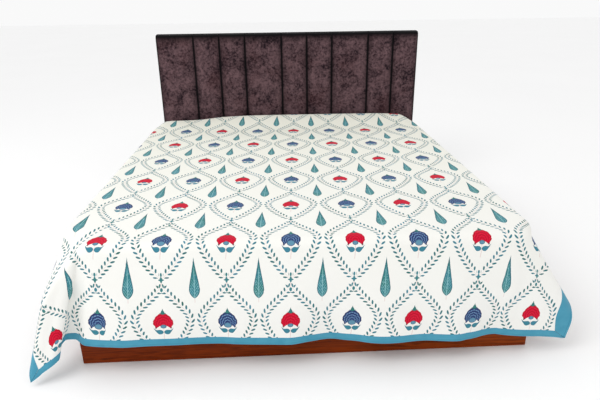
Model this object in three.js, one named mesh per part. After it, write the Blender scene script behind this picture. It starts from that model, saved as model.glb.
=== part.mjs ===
// A double bed with its block printed bed sheet, which falls over the foot and the two sides.
//
// Millimetres, +Z up, floor at z = 0. The foot of the bed faces -Y and the headboard stands at +Y.
// Every piece is placed from the middle of the mattress; the last lines move the whole bed so that
// its origin is the middle of its footprint on the floor.

import * as THREE from 'three';

// ---------------------------------------------------------------------------------------------
// Driving dimensions
// ---------------------------------------------------------------------------------------------

const GAP = 0.3;                  // between pieces that meet

// Mattress, a 72 x 78 inch one, soft at the corners
const MATTRESS_WIDTH = 1822;
const MATTRESS_LENGTH = 1972;
const MATTRESS_TOP = 530;
const MATTRESS_EDGE = 40;         // radius of its top edge along the straight sides

// Wooden base, a little narrower than the mattress and set to one side of it
const BASE_WIDTH = 1800;
const BASE_ASIDE = 30;            // the mattress lies this far to the left on its base
const BASE_HEIGHT = 276;
const BASE_FOOT_Y = -950;
const BOARD = 25;                 // thickness of the panels and of the deck
const DECK_HEAD_Y = 960;

// Headboard, a board with nine upholstered upright pads in the order wide, narrow, narrow
const HEADBOARD_WIDTH = 1800;
const HEADBOARD_HEIGHT = 1130;
const HEADBOARD_FRONT_Y = 1020;   // crown of the pads
const PAD_DEPTH = 45;
const PAD_CROWN = 14;             // how much the middle of a pad stands proud of its seams
const PAD_BOTTOM = 300;
const PAD_TOP_INSET = 3;
const HEADBOARD_BOARD = 30;
const PAD_SHARES = [36, 25, 25, 36, 25, 25, 36, 25, 25];

// Bed sheet: one printed panel with a plain border strip along each edge, mitred at the corners
const CLOTH = 1.5;
const CLOTH_LIFT = 0.5;           // from the mattress to the underside of the cloth
const COLUMN = 236;               // one repeat of the print across the cloth
const COLUMNS = 9;
const ROW = 328;                  // one repeat along the cloth
const SIDE_BORDER = 56;
const END_BORDER = 30;
const SEAM = 1.5;                 // slit between the panel and a strip, measured in the cloth
const SHEET_WIDTH = COLUMNS * COLUMN + 2 * SIDE_BORDER;
const SHEET_LENGTH = 2540;

// How the cloth lies on the bed. Its own directions are u across, from the middle column, and
// v towards the head, from the first printed row.
const LIE_TURN = THREE.MathUtils.degToRad(-2.68);
const LIE_X = 38.4;               // the middle of the first printed row, on the mattress
const LIE_Y = 680;
const FOOT_V = -(6 * ROW + 110);  // the foot edge hangs this far past the seventh printed row
const HEAD_V = FOOT_V + SHEET_LENGTH;
const BOW_ALONG = 7.4;            // bow and skew of the weave, in mm for each square metre
const BOW_ACROSS = 3.1;
const SKEW = -14.9;

// Where the cloth folds over the edges of the mattress
const FOLD_X = 915;
const FOLD_Y = 990;
const FOLD_RADIUS = 38;
const KICK_REACH = 380;           // a kick is the sideways move that far below a fold
const CLOTH_TOP = MATTRESS_TOP + CLOTH_LIFT + CLOTH / 2;

// ---------------------------------------------------------------------------------------------
// Fold tables, one row for each fold. A lean is the slope away from the vertical; a kick moves
// the hem on from there. "out" is away from the edge that the cloth falls over and "aside" is
// along it, to the right for the foot and away from the bed at a corner.
// ---------------------------------------------------------------------------------------------

function table(names, ...rows) {
  return rows.map((row) => Object.fromEntries(names.map((name, i) => [name, row[i]])));
}

const FOOT_FOLDS = table(
  ['at', 'leanOut', 'kickOut', 'leanAside'],
  [-715, 0.12, -8, -0.05],
  [-660, 0.12, -4, -0.04],
  [-600, 0.12, -8, -0.03],
  [-500, 0.12, -15, -0.01],
  [-380, 0.12, -20, 0.00],
  [-220, 0.12, -14, 0.00],
  [-50, 0.12, -5, 0.00],
  [30, 0.12, -24, 0.00],
  [110, 0.12, -38, 0.00],
  [180, 0.12, -24, 0.00],
  [330, 0.12, -2, 0.00],
  [480, 0.10, -8, 0.00],
  [620, 0.09, 3, 0.00],
  [775, 0.05, -22, 0.00],
);

const LEFT_FOLDS = table(
  ['at', 'leanOut', 'kickOut', 'leanAside'],
  [-790, 0.08, 0, 0],
  [-480, 0.11, 10, 0],
  [-230, 0.06, 2, 0],
  [120, 0.12, 12, 0],
  [420, 0.07, 3, 0],
  [850, 0.08, 0, 0],
);

const RIGHT_FOLDS = table(
  ['at', 'leanOut', 'kickOut', 'leanAside'],
  [-850, 0.11, 0, 0],
  [-560, 0.14, 8, 0],
  [-260, 0.10, 2, 0],
  [90, 0.15, 14, 0],
  [400, 0.12, 4, 0],
  [850, 0.11, 0, 0],
);

const HEAD_FOLDS = table(
  ['at', 'leanOut', 'kickOut', 'leanAside'],
  [-775, 0, 0, 0],
  [775, 0, 0, 0],
);

// How far the cloth is pushed up off the mattress where it meets the headboard
const HEAD_RISE = table(
  ['x', 'rise'],
  [-905, 0],
  [-830, 24],
  [-650, 26],
  [-420, 45],
  [-200, 51],
  [600, 47],
  [800, 38],
  [905, 0],
);

// A corner turns from straight out over the end (0 degrees) to straight out over the side (90).
// The cloth runs flat for "run" from the corner's centre, bends with the radius "bend" and hangs.
const CORNER_COLUMNS = ['angle', 'run', 'bend', 'leanAside', 'leanOut', 'kickOut'];

const LEFT_FOOT_CORNER = table(
  CORNER_COLUMNS,
  [0, 162, 38, 0.05, 0.12, -8],
  [9, 163, 38, 0.19, 0.08, -4],
  [14, 165, 38, 0.28, -0.04, 0],
  [18, 165, 40, 0.33, -0.04, 0],
  [22, 155, 48, 0.34, 0.05, 0],
  [26, 140, 80, 0.26, 0.15, 0],
  [30, 115, 130, 0.27, 0.19, 0],
  [34, 75, 205, 0.29, 0.19, 0],
  [40, 10, 340, 0.29, 0.15, 0],
  [52, 30, 270, 0.12, 0.00, 0],
  [65, 80, 160, 0.05, 0.00, 0],
  [78, 140, 60, 0.10, 0.00, 0],
  [90, 162, 38, 0.08, 0.00, 0],
);

const RIGHT_FOOT_CORNER = table(
  CORNER_COLUMNS,
  [0, 102, 38, 0.00, 0.05, -22],
  [14, 104, 38, 0.25, 0.05, 0],
  [23, 107, 40, 0.40, 0.06, 0],
  [27, 107, 40, 0.46, 0.06, 0],
  [31, 106, 42, 0.60, 0.06, 0],
  [35, 103, 44, 0.69, 0.05, -30],
  [40, 99, 45, 0.68, 0.00, -85],
  [47, 95, 46, 0.53, -0.07, -40],
  [54, 93, 46, 0.36, -0.10, 0],
  [66, 96, 42, 0.18, -0.08, 0],
  [78, 100, 40, 0.14, -0.05, 0],
  [90, 102, 38, 0.11, 0.00, 0],
);

const LEFT_HEAD_CORNER = table(
  CORNER_COLUMNS,
  [0, 102, 38, 0.00, 0.00, 0],
  [14, 105, 38, 0.20, -0.02, 0],
  [28, 110, 40, 0.36, -0.04, 0],
  [40, 115, 45, 0.46, -0.06, 0],
  [50, 110, 50, 0.34, -0.12, 0],
  [64, 102, 45, 0.16, -0.12, 0],
  [78, 102, 40, 0.12, -0.06, 0],
  [90, 102, 38, 0.08, 0.00, 0],
);

const RIGHT_HEAD_CORNER = table(
  CORNER_COLUMNS,
  [0, 102, 38, 0.00, 0.00, 0],
  [14, 105, 38, 0.20, -0.02, 0],
  [28, 110, 40, 0.38, -0.04, 0],
  [40, 115, 45, 0.50, -0.06, 0],
  [50, 110, 50, 0.40, -0.14, 0],
  [64, 102, 45, 0.20, -0.12, 0],
  [78, 102, 40, 0.15, -0.06, 0],
  [90, 102, 38, 0.11, 0.00, 0],
);

// How far the centre of each corner lies inside the folds, and which way the corner points
const CORNERS = table(
  ['sideX', 'sideY', 'inset', 'rows'],
  [-1, -1, 200, LEFT_FOOT_CORNER],
  [1, -1, 140, RIGHT_FOOT_CORNER],
  [-1, 1, 140, LEFT_HEAD_CORNER],
  [1, 1, 140, RIGHT_HEAD_CORNER],
);

// Corners of the mattress: radius in plan, and the radius of its top edge halfway round
const MATTRESS_CORNERS = table(
  ['sideX', 'sideY', 'plan', 'softness'],
  [-1, -1, 240, 200],
  [1, -1, 160, 80],
  [1, 1, 160, 80],
  [-1, 1, 160, 80],
);

// ---------------------------------------------------------------------------------------------
// Drape of the cloth
// ---------------------------------------------------------------------------------------------

// Reads a fold table at any place between its rows, along smooth curves that never overshoot.
function between(rows, key, place) {
  const names = Object.keys(rows[0]);
  const last = rows.length - 1;
  const at = THREE.MathUtils.clamp(place, rows[0][key], rows[last][key]);
  let k = 0;
  while (k < last - 1 && at >= rows[k + 1][key]) k += 1;
  const span = rows[k + 1][key] - rows[k][key];
  const t = (at - rows[k][key]) / span;
  const result = {};
  for (const name of names) {
    const slope = (i) => {
      if (i <= 0 || i >= last) return 0;
      const before = (rows[i][name] - rows[i - 1][name]) / (rows[i][key] - rows[i - 1][key]);
      const after = (rows[i + 1][name] - rows[i][name]) / (rows[i + 1][key] - rows[i][key]);
      return before * after > 0 ? (2 * before * after) / (before + after) : 0;
    };
    const rise = t * t * (3 - 2 * t);
    result[name] = rows[k][name] * (1 - rise) + rows[k + 1][name] * rise
      + span * slope(k) * t * (1 - t) * (1 - t) - span * slope(k + 1) * t * t * (1 - t);
  }
  return result;
}

// The cloth's own place (u, v), laid flat at the level of the mattress top
function layFlat(u, v) {
  const x = LIE_X + u * Math.cos(LIE_TURN) - v * Math.sin(LIE_TURN);
  const y = LIE_Y + u * Math.sin(LIE_TURN) + v * Math.cos(LIE_TURN);
  const across = x / 1000;
  const along = y / 1000;
  return [x + BOW_ALONG * along * along, y + BOW_ACROSS * across * across + SKEW * across * along];
}

// A strip of cloth that runs from "start" along "out", bends down and hangs. "lean" is the slope
// of the hanging part and "kick" bends its lower end on.
function hang(start, out, length, run, bend, lean, kick) {
  const down = new THREE.Vector3(lean.x, lean.y, -1).normalize();
  const turn = Math.acos(THREE.MathUtils.clamp(out.dot(down), -1, 1));
  const inward = down.clone().addScaledVector(out, -out.dot(down)).normalize();
  const flat = Math.min(length, run);
  const angle = THREE.MathUtils.clamp((length - run) / bend, 0, turn);
  const straight = Math.max(length - run - bend * turn, 0);
  const kicked = (straight / KICK_REACH) ** 2;
  return start.clone()
    .addScaledVector(out, flat + bend * Math.sin(angle))
    .addScaledVector(inward, bend * (1 - Math.cos(angle)))
    .addScaledVector(down, straight)
    .add(new THREE.Vector3(kick.x, kick.y, 0).multiplyScalar(kicked));
}

function cornerCentre(sideX, sideY) {
  const corner = CORNERS.find((c) => c.sideX === sideX && c.sideY === sideY);
  return new THREE.Vector2(sideX * (FOLD_X - corner.inset), sideY * (FOLD_Y - corner.inset));
}

// Cloth that falls over one straight edge. The flat part starts on the line between the centres
// of the edge's two corners.
function overEdge(x, y, edge) {
  const { rows, sideX, sideY } = edge;
  const alongX = sideX === 0;
  const from = cornerCentre(alongX ? -1 : sideX, alongX ? sideY : -1);
  const to = cornerCentre(alongX ? 1 : sideX, alongX ? sideY : 1);
  const t = alongX ? (x - from.x) / (to.x - from.x) : (y - from.y) / (to.y - from.y);
  const inner = from.clone().lerp(to, THREE.MathUtils.clamp(t, 0, 1));
  const start = new THREE.Vector3(alongX ? x : inner.x, alongX ? inner.y : y, CLOTH_TOP);
  const length = alongX ? sideY * (y - inner.y) : sideX * (x - inner.x);
  const inset = alongX ? FOLD_Y - Math.abs(inner.y) : FOLD_X - Math.abs(inner.x);
  const fold = between(rows, 'at', alongX ? x : y);
  const out = new THREE.Vector3(sideX, sideY, 0);
  const lean = out.clone().multiplyScalar(fold.leanOut);
  lean.x += alongX ? fold.leanAside : 0;
  const kick = out.clone().multiplyScalar(fold.kickOut);
  return hang(start, out, Math.max(length, 0), inset - FOLD_RADIUS, FOLD_RADIUS, lean, kick);
}

function overCorner(x, y, corner, centre) {
  const { sideX, sideY, rows } = corner;
  const dx = sideX * (x - centre.x);
  const dy = sideY * (y - centre.y);
  const angle = Math.atan2(dx, dy);
  const fold = between(rows, 'angle', THREE.MathUtils.radToDeg(angle));
  const out = new THREE.Vector3(sideX * Math.sin(angle), sideY * Math.cos(angle), 0);
  const lean = new THREE.Vector3(sideX * fold.leanAside, sideY * fold.leanOut, 0);
  const kick = new THREE.Vector3(0, sideY * fold.kickOut, 0);
  const start = new THREE.Vector3(centre.x, centre.y, CLOTH_TOP);
  return hang(start, out, Math.hypot(dx, dy), fold.run, fold.bend, lean, kick);
}

// How far a place of the cloth is pushed up at the head end. It fades out down the hanging edge.
function headRise(place) {
  const { rise } = between(HEAD_RISE, 'x', place.x);
  const towardsHead = THREE.MathUtils.smoothstep(place.y, 700, 980);
  return rise * towardsHead * THREE.MathUtils.smoothstep(place.z, CLOTH_TOP - 180, CLOTH_TOP - 30);
}

// The cloth over the folds alone, for a place (u, v) in the cloth
function overFolds(u, v) {
  const [x, y] = layFlat(u, v);
  for (const corner of CORNERS) {
    const centre = cornerCentre(corner.sideX, corner.sideY);
    const beyondX = corner.sideX * (x - centre.x) > 0;
    const beyondY = corner.sideY * (y - centre.y) > 0;
    if (beyondX && beyondY) return overCorner(x, y, corner, centre);
  }
  const edges = table(
    ['sideX', 'sideY', 'rows'],
    [0, -1, FOOT_FOLDS],
    [0, 1, HEAD_FOLDS],
    [-1, 0, LEFT_FOLDS],
    [1, 0, RIGHT_FOLDS],
  );
  for (const edge of edges) {
    const place = overEdge(x, y, edge);
    const outward = edge.sideX * (x - place.x) + edge.sideY * (y - place.y);
    if (outward > 0) return place;
  }
  return new THREE.Vector3(x, y, CLOTH_TOP);
}

// Middle of the cloth's thickness, for a place (u, v) in the cloth
function drape(u, v) {
  const place = overFolds(u, v);
  place.z += headRise(place);
  return place;
}

// Direction out of the cloth's printed face
function faceDirection(u, v) {
  const step = 2;
  const across = drape(u + step, v).sub(drape(u - step, v));
  const along = drape(u, v + step).sub(drape(u, v - step));
  return across.cross(along).normalize();
}

// ---------------------------------------------------------------------------------------------
// Lines of the cloth's net. They follow the folds, so each is found from a place on the bed.
// ---------------------------------------------------------------------------------------------

const BEND_START_X = FOLD_X - FOLD_RADIUS;
const BEND_END_X = FOLD_X + 25;
const BEND_START_Y = FOLD_Y - FOLD_RADIUS;
const BEND_END_Y = FOLD_Y + 25;
const PANEL_SIDE = SHEET_WIDTH / 2 - SIDE_BORDER;
const PANEL_FOOT = FOOT_V + END_BORDER;
const PANEL_HEAD = HEAD_V - END_BORDER;

function uAt(x, v) {
  let u = x - LIE_X;
  for (let i = 0; i < 6; i += 1) u += x - layFlat(u, v)[0];
  return u;
}

function vAt(y, u) {
  let v = y - LIE_Y;
  for (let i = 0; i < 6; i += 1) v += y - layFlat(u, v)[1];
  return v;
}

// Each zone ends at a line and is cut into equal steps. The first line is the panel's edge.
const ACROSS_ZONES = table(
  ['line', 'steps'],
  [(v) => uAt(-BEND_END_X, v), 8],
  [(v) => uAt(-BEND_START_X, v), 4],
  [(v) => uAt(cornerCentre(-1, -1).x, v), 5],
  [(v) => uAt(cornerCentre(1, -1).x, v), 20],
  [(v) => uAt(BEND_START_X, v), 4],
  [(v) => uAt(BEND_END_X, v), 4],
  [() => PANEL_SIDE, 7],
);

const ALONG_ZONES = table(
  ['line', 'steps'],
  [(u) => vAt(-BEND_END_Y, u), 11],
  [(u) => vAt(-BEND_START_Y, u), 4],
  [(u) => vAt(cornerCentre(-1, -1).y, u), 4],
  [(u) => vAt(cornerCentre(1, 1).y, u), 10],
  [(u) => vAt(BEND_START_Y, u), 3],
  [(u) => vAt(BEND_END_Y, u), 4],
  [() => PANEL_HEAD, 4],
);

function lines(firstLine, zones) {
  const list = [firstLine];
  let previous = firstLine;
  for (const { line, steps } of zones) {
    const start = previous;
    for (let i = 1; i <= steps; i += 1) {
      const t = i / steps;
      list.push((place) => start(place) * (1 - t) + line(place) * t);
    }
    previous = line;
  }
  return list;
}

const ACROSS_LINES = lines(() => -PANEL_SIDE, ACROSS_ZONES);
const ALONG_LINES = lines(() => PANEL_FOOT, ALONG_ZONES);

function crossing(acrossLine, alongLine) {
  let u = acrossLine(0);
  let v = alongLine(u);
  for (let i = 0; i < 4; i += 1) {
    u = acrossLine(v);
    v = alongLine(u);
  }
  return [u, v];
}

// ---------------------------------------------------------------------------------------------
// Solids
// ---------------------------------------------------------------------------------------------

function closedBody(points, triangles) {
  const geometry = new THREE.BufferGeometry();
  geometry.setAttribute('position', new THREE.Float32BufferAttribute(points.flatMap((p) => [...p]), 3));
  geometry.setIndex(triangles.flat());
  geometry.computeVertexNormals();
  return geometry;
}

// A thin closed solid on a net of cloth places. net[j][i] runs across with i and along with j.
function clothSolid(net) {
  const rows = net.length;
  const columns = net[0].length;
  const points = [];
  for (const side of [1, -1]) {
    for (const [u, v] of net.flat()) {
      points.push(drape(u, v).addScaledVector(faceDirection(u, v), side * CLOTH / 2));
    }
  }
  const face = (i, j) => j * columns + i;
  const back = (i, j) => rows * columns + face(i, j);
  const triangles = [];
  const quad = (a, b, c, d) => triangles.push([a, b, c], [a, c, d]);
  for (let j = 0; j < rows - 1; j += 1) {
    for (let i = 0; i < columns - 1; i += 1) {
      quad(face(i, j), face(i + 1, j), face(i + 1, j + 1), face(i, j + 1));
      quad(back(i, j), back(i, j + 1), back(i + 1, j + 1), back(i + 1, j));
    }
  }
  for (let i = 0; i < columns - 1; i += 1) {
    quad(face(i + 1, 0), face(i, 0), back(i, 0), back(i + 1, 0));
    quad(face(i, rows - 1), face(i + 1, rows - 1), back(i + 1, rows - 1), back(i, rows - 1));
  }
  for (let j = 0; j < rows - 1; j += 1) {
    quad(face(0, j), face(0, j + 1), back(0, j + 1), back(0, j));
    quad(face(columns - 1, j + 1), face(columns - 1, j), back(columns - 1, j), back(columns - 1, j + 1));
  }
  return closedBody(points, triangles);
}

function panelNet() {
  return ALONG_LINES.map((along) => ACROSS_LINES.map((across) => crossing(across, along)));
}

// A border strip: its inner edge lies on the panel's edge, its outer edge is the edge of the
// sheet, and its two ends run along the mitres.
function endStripNet(side) {
  const innerV = (side < 0 ? PANEL_FOOT : PANEL_HEAD) + side * SEAM;
  const outerV = side < 0 ? FOOT_V : HEAD_V;
  const innerLine = ACROSS_LINES.map((across) => [across(innerV), innerV]);
  const outerLine = ACROSS_LINES.map((across) => [across(outerV), outerV]);
  outerLine[0][0] = -SHEET_WIDTH / 2;
  outerLine[outerLine.length - 1][0] = SHEET_WIDTH / 2;
  for (const line of [innerLine, outerLine]) {
    line[0][0] += SEAM;
    line[line.length - 1][0] -= SEAM;
  }
  return side < 0 ? [outerLine, innerLine] : [innerLine, outerLine];
}

function sideStripNet(side) {
  const innerU = side * (PANEL_SIDE + SEAM);
  const outerU = side * SHEET_WIDTH / 2;
  const net = ALONG_LINES.map((along) => {
    const inner = [innerU, along(innerU)];
    const outer = [outerU, along(outerU)];
    return [inner, outer];
  });
  net[0][1][1] = FOOT_V;
  net[net.length - 1][1][1] = HEAD_V;
  for (const place of net[0]) place[1] += SEAM;
  for (const place of net[net.length - 1]) place[1] -= SEAM;
  const withMiddle = net.map(([inner, outer]) => {
    const middle = [(inner[0] + outer[0]) / 2, (inner[1] + outer[1]) / 2];
    return [inner, middle, outer];
  });
  return side < 0 ? withMiddle.map((row) => row.reverse()) : withMiddle;
}

// The mattress: rings from the flat top, round its top edge and down to the flat bottom
function mattressSolid() {
  const cornerSteps = 8;
  const edgeSteps = 6;
  const bottom = BASE_HEIGHT + GAP;
  const stations = [];
  for (const { sideX, sideY, plan, softness } of MATTRESS_CORNERS) {
    const centre = new THREE.Vector2(
      sideX * (MATTRESS_WIDTH / 2 - plan),
      sideY * (MATTRESS_LENGTH / 2 - plan),
    );
    for (let i = 0; i <= cornerSteps; i += 1) {
      const turn = (i / cornerSteps) * Math.PI / 2;
      const share = sideX * sideY > 0 ? Math.PI / 2 - turn : turn;
      const edge = MATTRESS_EDGE + (softness - MATTRESS_EDGE) * Math.sin(2 * turn) ** 2;
      const out = new THREE.Vector2(sideX * Math.sin(share), sideY * Math.cos(share));
      stations.push({ centre, out, plan, edge });
    }
  }
  const ring = (k) => stations.map(({ centre, out, plan, edge }) => {
    const angle = Math.min(k / edgeSteps, 1) * Math.PI / 2;
    const reach = plan - edge + edge * Math.sin(angle);
    const z = k > edgeSteps ? bottom : MATTRESS_TOP - edge * (1 - Math.cos(angle));
    return new THREE.Vector3(centre.x + out.x * reach, centre.y + out.y * reach, z);
  });
  const count = stations.length;
  const ringCount = edgeSteps + 2;
  const points = [];
  for (let k = 0; k < ringCount; k += 1) points.push(...ring(k));
  const topMiddle = points.push(new THREE.Vector3(0, 0, MATTRESS_TOP)) - 1;
  const bottomMiddle = points.push(new THREE.Vector3(0, 0, bottom)) - 1;
  const triangles = [];
  for (let i = 0; i < count; i += 1) {
    const next = (i + 1) % count;
    const lowest = (ringCount - 1) * count;
    triangles.push([topMiddle, i, next]);
    triangles.push([bottomMiddle, lowest + next, lowest + i]);
    for (let k = 0; k < ringCount - 1; k += 1) {
      const upper = k * count;
      const lower = upper + count;
      triangles.push([upper + i, lower + i, lower + next]);
      triangles.push([upper + i, lower + next, upper + next]);
    }
  }
  return closedBody(points, triangles);
}

// A block given by its lowest and highest corners
function blockBetween(low, high) {
  const size = high.map((value, i) => value - low[i]);
  const middle = high.map((value, i) => (value + low[i]) / 2);
  return new THREE.BoxGeometry(...size).translate(...middle);
}

// An upholstered pad: a plan with a crowned front, drawn up to the top of the headboard
function padSolid(left, right) {
  const seamY = HEADBOARD_FRONT_Y + PAD_CROWN;
  const backY = HEADBOARD_FRONT_Y + PAD_DEPTH - GAP;
  const plan = new THREE.Shape();
  plan.moveTo(left, seamY);
  plan.quadraticCurveTo((left + right) / 2, seamY - 2 * PAD_CROWN, right, seamY);
  plan.lineTo(right, backY);
  plan.lineTo(left, backY);
  plan.closePath();
  const height = HEADBOARD_HEIGHT - PAD_TOP_INSET - PAD_BOTTOM;
  const solid = new THREE.ExtrudeGeometry(plan, { depth: height, bevelEnabled: false, curveSegments: 8 });
  return solid.translate(0, 0, PAD_BOTTOM);
}

// ---------------------------------------------------------------------------------------------
// Materials and pieces
// ---------------------------------------------------------------------------------------------

function material(colour, roughness) {
  return new THREE.MeshStandardMaterial({ color: colour, roughness, metalness: 0 });
}

const PRINTED_COTTON = material(0xf3f3ec, 0.9);
const TEAL_COTTON = material(0x55a0be, 0.9);
const TICKING = material(0xe9e6dc, 0.95);
const WOOD = material(0x7a3a18, 0.45);
const DECK_BOARD = material(0xb08a5c, 0.8);
const UPHOLSTERY = material(0x4a3334, 0.85);

const bed = new THREE.Group();

function add(name, geometry, look) {
  const mesh = new THREE.Mesh(geometry, look);
  mesh.name = name;
  bed.add(mesh);
}

const baseLeft = BASE_ASIDE - BASE_WIDTH / 2;
const baseRight = BASE_ASIDE + BASE_WIDTH / 2;
const boardY = HEADBOARD_FRONT_Y + PAD_DEPTH;
const innerLeft = baseLeft + BOARD + GAP;
const innerRight = baseRight - BOARD - GAP;
const behindFoot = BASE_FOOT_Y + BOARD + GAP;

add('base_foot_panel', blockBetween(
  [baseLeft, BASE_FOOT_Y, 0],
  [baseRight, BASE_FOOT_Y + BOARD, BASE_HEIGHT],
), WOOD);
add('base_left_panel', blockBetween(
  [baseLeft, behindFoot, 0],
  [baseLeft + BOARD, boardY - GAP, BASE_HEIGHT],
), WOOD);
add('base_right_panel', blockBetween(
  [baseRight - BOARD, behindFoot, 0],
  [baseRight, boardY - GAP, BASE_HEIGHT],
), WOOD);
add('base_head_panel', blockBetween(
  [innerLeft, DECK_HEAD_Y + GAP, 0],
  [innerRight, DECK_HEAD_Y + GAP + BOARD, BASE_HEIGHT],
), WOOD);
add('base_deck', blockBetween(
  [innerLeft, behindFoot, BASE_HEIGHT - BOARD],
  [innerRight, DECK_HEAD_Y, BASE_HEIGHT],
), DECK_BOARD);

add('headboard_board', blockBetween(
  [BASE_ASIDE - HEADBOARD_WIDTH / 2, boardY, 0],
  [BASE_ASIDE + HEADBOARD_WIDTH / 2, boardY + HEADBOARD_BOARD, HEADBOARD_HEIGHT],
), UPHOLSTERY);

const shareTotal = PAD_SHARES.reduce((sum, share) => sum + share, 0);
let padLeft = BASE_ASIDE - HEADBOARD_WIDTH / 2;
PAD_SHARES.forEach((share, i) => {
  const padRight = padLeft + HEADBOARD_WIDTH * share / shareTotal;
  add(`headboard_pad_${i + 1}`, padSolid(padLeft + GAP / 2, padRight - GAP / 2), UPHOLSTERY);
  padLeft = padRight;
});

add('mattress', mattressSolid(), TICKING);
add('sheet_panel', clothSolid(panelNet()), PRINTED_COTTON);
add('border_foot', clothSolid(endStripNet(-1)), TEAL_COTTON);
add('border_head', clothSolid(endStripNet(1)), TEAL_COTTON);
add('border_left', clothSolid(sideStripNet(-1)), TEAL_COTTON);
add('border_right', clothSolid(sideStripNet(1)), TEAL_COTTON);

// The origin goes to the middle of the footprint, on the floor
const middle = new THREE.Box3().setFromObject(bed).getCenter(new THREE.Vector3());
bed.position.set(-middle.x, -middle.y, 0);

export default bed;
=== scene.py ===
"""Looks of a double bed with its block printed bed sheet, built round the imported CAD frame."""

import math

import bmesh
import bpy
import numpy as np
from mathutils import Matrix, Vector


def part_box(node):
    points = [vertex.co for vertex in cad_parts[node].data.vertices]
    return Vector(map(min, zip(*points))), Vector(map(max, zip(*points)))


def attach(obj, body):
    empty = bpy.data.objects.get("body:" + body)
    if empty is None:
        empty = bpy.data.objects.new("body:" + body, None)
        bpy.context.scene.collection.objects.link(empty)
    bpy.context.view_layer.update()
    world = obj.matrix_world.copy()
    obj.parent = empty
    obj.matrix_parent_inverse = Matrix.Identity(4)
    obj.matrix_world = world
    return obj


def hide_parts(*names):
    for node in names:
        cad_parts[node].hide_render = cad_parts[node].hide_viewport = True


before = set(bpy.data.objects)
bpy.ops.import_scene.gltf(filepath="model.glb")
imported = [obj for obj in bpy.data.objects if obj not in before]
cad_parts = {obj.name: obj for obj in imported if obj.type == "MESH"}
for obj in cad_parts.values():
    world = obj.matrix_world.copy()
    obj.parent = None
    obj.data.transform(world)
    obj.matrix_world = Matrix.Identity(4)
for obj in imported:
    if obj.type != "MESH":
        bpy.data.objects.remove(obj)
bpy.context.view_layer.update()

# ------------------------------
# Sizes, in millimetres from the middle of the mattress on the floor. The cloth's own directions
# are u across, from its middle column, and v towards the head, from its first printed row.
# ------------------------------

MM = 0.001

COLUMN = 236  # one repeat of the print across the cloth
COLUMNS = 9
ROW = 328  # one repeat along the cloth
SIDE_BORDER = 56
END_BORDER = 30
SHEET_WIDTH = COLUMNS * COLUMN + 2 * SIDE_BORDER
SHEET_LENGTH = 2540
LAST_ROW = 6  # the printed row nearest the foot hem
ROW_TO_HEM = 110
FOOT_V = -(LAST_ROW * ROW + ROW_TO_HEM)
HEAD_V = FOOT_V + SHEET_LENGTH
PANEL_SIDE = SHEET_WIDTH / 2 - SIDE_BORDER
PANEL_FOOT = FOOT_V + END_BORDER
PANEL_HEAD = HEAD_V - END_BORDER
SEAM = 0.15  # slit between the panel and a strip

PANEL_HALF = 0.6  # half the thickness of the printed cotton
STRIP_HALF = 0.8  # of the border strips, which are folded double
HEM_HALF = 1.3
HEM_WIDTH = 7
STRIP_PUFF = 0.7  # how much a strip stands proud between its seam and its hem

LIE_TURN = math.radians(-2.68)
LIE_X = 38.4  # where the middle of the first printed row lies on the mattress
LIE_Y = 680
BOW_ALONG = 7.4  # bow and skew of the weave, in millimetres for each square metre
BOW_ACROSS = 3.1
SKEW = -14.9

FOLD_X = 915
FOLD_Y = 990
FOLD_RADIUS = 38
KICK_REACH = 380
CLOTH_TOP = 531.25

MATTRESS_TOP = 530
MATTRESS_BOTTOM = 276.3
MATTRESS_WIDTH = 1822
MATTRESS_LENGTH = 1972
MATTRESS_EDGE = 40

mattress_low, mattress_high = (Vector(corner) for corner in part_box("mattress"))
BED_MIDDLE = (mattress_low + mattress_high) / 2

# Fold tables: (at, lean out, kick out, lean aside) for each straight edge
FOOT_FOLDS = [
    (-715, 0.12, -8, -0.05),
    (-660, 0.12, -4, -0.04),
    (-600, 0.12, -8, -0.03),
    (-500, 0.12, -15, -0.01),
    (-380, 0.12, -20, 0.00),
    (-220, 0.12, -14, 0.00),
    (-50, 0.12, -5, 0.00),
    (30, 0.12, -24, 0.00),
    (110, 0.12, -38, 0.00),
    (180, 0.12, -24, 0.00),
    (330, 0.12, -2, 0.00),
    (480, 0.10, -8, 0.00),
    (620, 0.09, 3, 0.00),
    (775, 0.05, -22, 0.00),
]
LEFT_FOLDS = [
    (-790, 0.08, 0, 0),
    (-480, 0.11, 10, 0),
    (-230, 0.06, 2, 0),
    (120, 0.12, 12, 0),
    (420, 0.07, 3, 0),
    (850, 0.08, 0, 0),
]
RIGHT_FOLDS = [
    (-850, 0.11, 0, 0),
    (-560, 0.14, 8, 0),
    (-260, 0.10, 2, 0),
    (90, 0.15, 14, 0),
    (400, 0.12, 4, 0),
    (850, 0.11, 0, 0),
]
HEAD_FOLDS = [(-775, 0, 0, 0), (775, 0, 0, 0)]

# (x, how far the cloth is pushed up off the mattress where it meets the headboard)
HEAD_RISE = [
    (-905, 0),
    (-830, 24),
    (-650, 26),
    (-420, 45),
    (-200, 51),
    (600, 47),
    (800, 38),
    (905, 0),
]

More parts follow.
